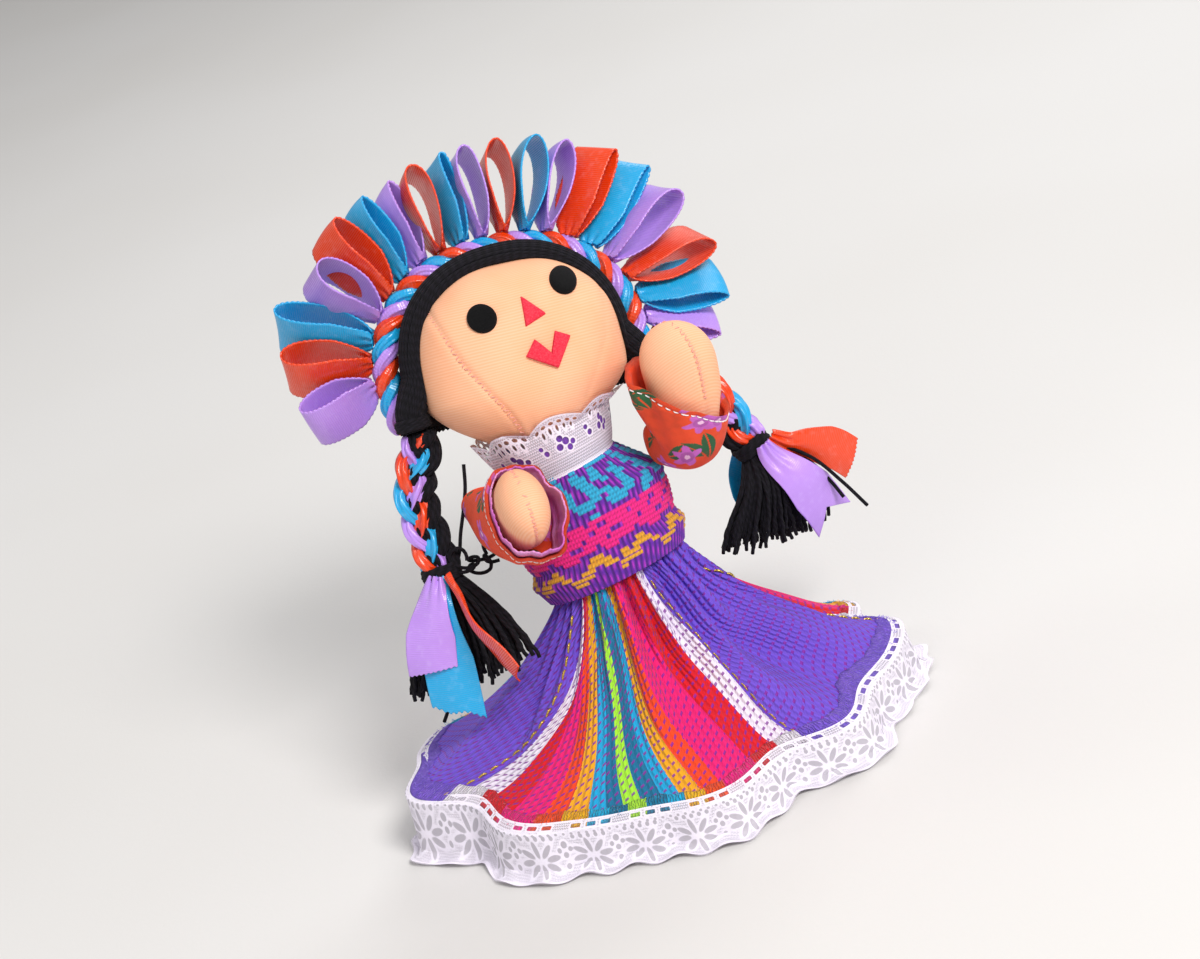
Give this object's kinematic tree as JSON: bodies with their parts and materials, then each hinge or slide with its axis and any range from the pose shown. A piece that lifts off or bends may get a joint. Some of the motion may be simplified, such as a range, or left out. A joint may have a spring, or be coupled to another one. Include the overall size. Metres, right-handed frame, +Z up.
{
  "type": "rag doll",
  "caption": "Small standing cloth rag doll with a fan of satin ribbon loops over black yarn hair, braids, a brocade blouse and a wide striped skirt edged with lace.",
  "frame": {"origin": "middle of the doll's foot print on the table, at the lace hem's lowest face", "axes": "+Z up, -Y the way the skirt's front and the doll face, +X towards the doll's left hand"},
  "size_m": [0.0976, 0.079, 0.1051],
  "materials": {
    "skin": "peach cotton, plain weave",
    "stuffing": "polyester fibre filling",
    "hair": "black acrylic yarn",
    "eye_felt": "matte black felt",
    "red_felt": "red felt",
    "ribbon_purple": "satin ribbon",
    "ribbon_orange": "satin ribbon",
    "ribbon_cyan": "satin ribbon",
    "blouse_cloth": "brocade with gold, cyan and pink figures",
    "skirt_cloth": "striped handwoven yarn with gold thread",
    "lace": "white nylon lace",
    "sleeve_print": "cotton with a small flower print",
    "shoe_felt": "black felt"
  },
  "bodies": {
    "torso": {"torso_body": "skin", "blouse": "blouse_cloth", "collar": "lace", "skirt": "skirt_cloth", "lace_hem": "lace"},
    "head": {"head_skin": "skin", "head_stuffing": "stuffing", "eye_right": "eye_felt", "eye_left": "eye_felt", "nose": "red_felt", "mouth": "red_felt", "hair_roll": "hair", "hair_back": "hair", "hair_tie_right": "hair", "hair_tie_left": "hair", "crown_purple": "ribbon_purple", "crown_orange": "ribbon_orange", "crown_cyan": "ribbon_cyan", "ribbon_loop_01": "ribbon_purple", "ribbon_loop_02": "ribbon_orange", "ribbon_loop_03": "ribbon_cyan", "ribbon_loop_04": "ribbon_purple", "ribbon_loop_05": "ribbon_orange", "ribbon_loop_06": "ribbon_cyan", "ribbon_loop_07": "ribbon_purple", "ribbon_loop_08": "ribbon_orange", "ribbon_loop_09": "ribbon_cyan", "ribbon_loop_10": "ribbon_purple", "ribbon_loop_11": "ribbon_orange", "ribbon_loop_12": "ribbon_cyan", "ribbon_loop_13": "ribbon_purple", "ribbon_loop_14": "ribbon_orange", "ribbon_loop_15": "ribbon_cyan", "ribbon_loop_16": "ribbon_purple", "ribbon_loop_17": "ribbon_orange", "ribbon_loop_18": "ribbon_cyan", "ribbon_loop_19": "ribbon_purple", "ribbon_loop_20": "ribbon_orange", "ribbon_loop_21": "ribbon_cyan"},
    "arm_right": {"arm_right": "skin", "sleeve_right": "sleeve_print"},
    "arm_left": {"arm_left": "skin", "sleeve_left": "sleeve_print"},
    "leg_right": {"leg_right": "skin", "shoe_right": "shoe_felt"},
    "leg_left": {"leg_left": "skin", "shoe_left": "shoe_felt"},
    "braid_right": {"braid_right": "hair", "braid_tie_right": "hair", "tassel_right": "hair", "tail_purple_right": "ribbon_purple", "tail_cyan_right": "ribbon_cyan", "tail_orange_right": "ribbon_orange"},
    "braid_left": {"braid_left": "hair", "braid_tie_left": "hair", "tassel_left": "hair", "tail_purple_left": "ribbon_purple", "tail_cyan_left": "ribbon_cyan", "tail_orange_left": "ribbon_orange"}
  },
  "joints": [
    {"name": "head_turn", "type": "hinge", "parent": "torso", "child": "head", "pos_m": [-0.0028, 0.00878, 0.05713], "axis": [0.0778, 0.3527, 0.9325], "range_deg": [-10, 10], "stiffness_Nm_per_rad": 0.02},
    {"name": "arm_right_swing", "type": "hinge", "parent": "torso", "child": "arm_right", "pos_m": [-0.01838, 0.00686, 0.05159], "axis": [0.8821, 0.2345, -0.4085], "range_deg": [-10, 25]},
    {"name": "arm_left_swing", "type": "hinge", "parent": "torso", "child": "arm_left", "pos_m": [0.0139, 0.00643, 0.05258], "axis": [0.9594, 0.0384, 0.2795], "range_deg": [-10, 75]},
    {"name": "leg_right_swing", "type": "hinge", "parent": "torso", "child": "leg_right", "pos_m": [-0.0034, -0.00093, 0.02043], "axis": [1, 0, 0], "range_deg": [-35, 35]},
    {"name": "leg_left_swing", "type": "hinge", "parent": "torso", "child": "leg_left", "pos_m": [0.00789, -0.00093, 0.02202], "axis": [1, 0, 0], "range_deg": [-35, 35]},
    {"name": "braid_right_swing", "type": "hinge", "parent": "head", "child": "braid_right", "pos_m": [-0.02396, 0.0088, 0.06448], "axis": [0, 1, 0], "range_deg": [0, 35]},
    {"name": "braid_left_swing", "type": "hinge", "parent": "head", "child": "braid_left", "pos_m": [0.01647, 0.01328, 0.05942], "axis": [0, -1, 0], "range_deg": [0, 18]}
  ]
}
